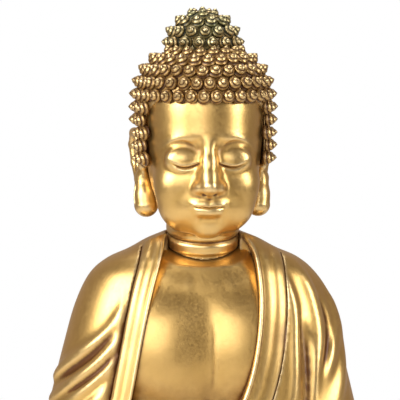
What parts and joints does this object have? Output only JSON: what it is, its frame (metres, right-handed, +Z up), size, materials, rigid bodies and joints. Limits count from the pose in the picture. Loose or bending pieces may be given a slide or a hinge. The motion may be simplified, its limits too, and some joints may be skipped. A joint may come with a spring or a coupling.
{
  "type": "buddha statue",
  "caption": "Seated meditating Buddha statue with snail-curl hair, a crown dome, long ears, an open draped robe and folded hands, in gold-painted cast resin.",
  "frame": {"origin": "on the floor, at the bottom centre of the overall box, under the pads", "axes": "+Z up; the figure faces -Y; +X is the figure's own left"},
  "size_m": [0.34, 0.2348, 0.4495],
  "materials": {
    "gold_casting": "satin metallic gold paint with a brown wash in the recesses, over cast resin",
    "aged_gold": "the same gold paint with a faint green patina",
    "dowel": "bare beech",
    "base_plate": "unpainted brown resin",
    "base_pad": "matt foam rubber"
  },
  "bodies": {
    "root": {"lap_shell": "gold_casting", "front_hem": "gold_casting", "right_foot": "gold_casting", "left_foot": "gold_casting", "torso_shell": "gold_casting", "robe_mantle": "gold_casting", "right_collar": "gold_casting", "left_collar": "gold_casting", "right_sleeve": "gold_casting", "left_sleeve": "gold_casting", "right_hand": "gold_casting", "left_hand": "gold_casting", "head_shell": "gold_casting", "right_ear": "gold_casting", "left_ear": "gold_casting", "hair_cap": "gold_casting", "crown_dome": "aged_gold", "hair_curls_row_1": "gold_casting", "hair_curls_row_2": "gold_casting", "hair_curls_row_3": "gold_casting", "hair_curls_row_4": "gold_casting", "hair_curls_row_5": "gold_casting", "hair_curls_row_6": "gold_casting", "hair_curls_row_7": "gold_casting", "hair_curls_row_8": "gold_casting", "hair_curls_row_9": "gold_casting", "hair_curls_row_10": "gold_casting", "hair_curls_row_11": "gold_casting", "hair_curls_row_12": "gold_casting", "hair_curls_row_13": "gold_casting", "crown_curls_row_1": "aged_gold", "crown_curls_row_2": "aged_gold", "crown_curls_row_3": "aged_gold", "crown_curls_row_4": "aged_gold", "crown_curls_row_5": "aged_gold", "neck_dowel": "dowel", "wrist_dowels": "dowel", "base_plate": "base_plate", "base_pads": "base_pad"}
  },
  "joints": []
}
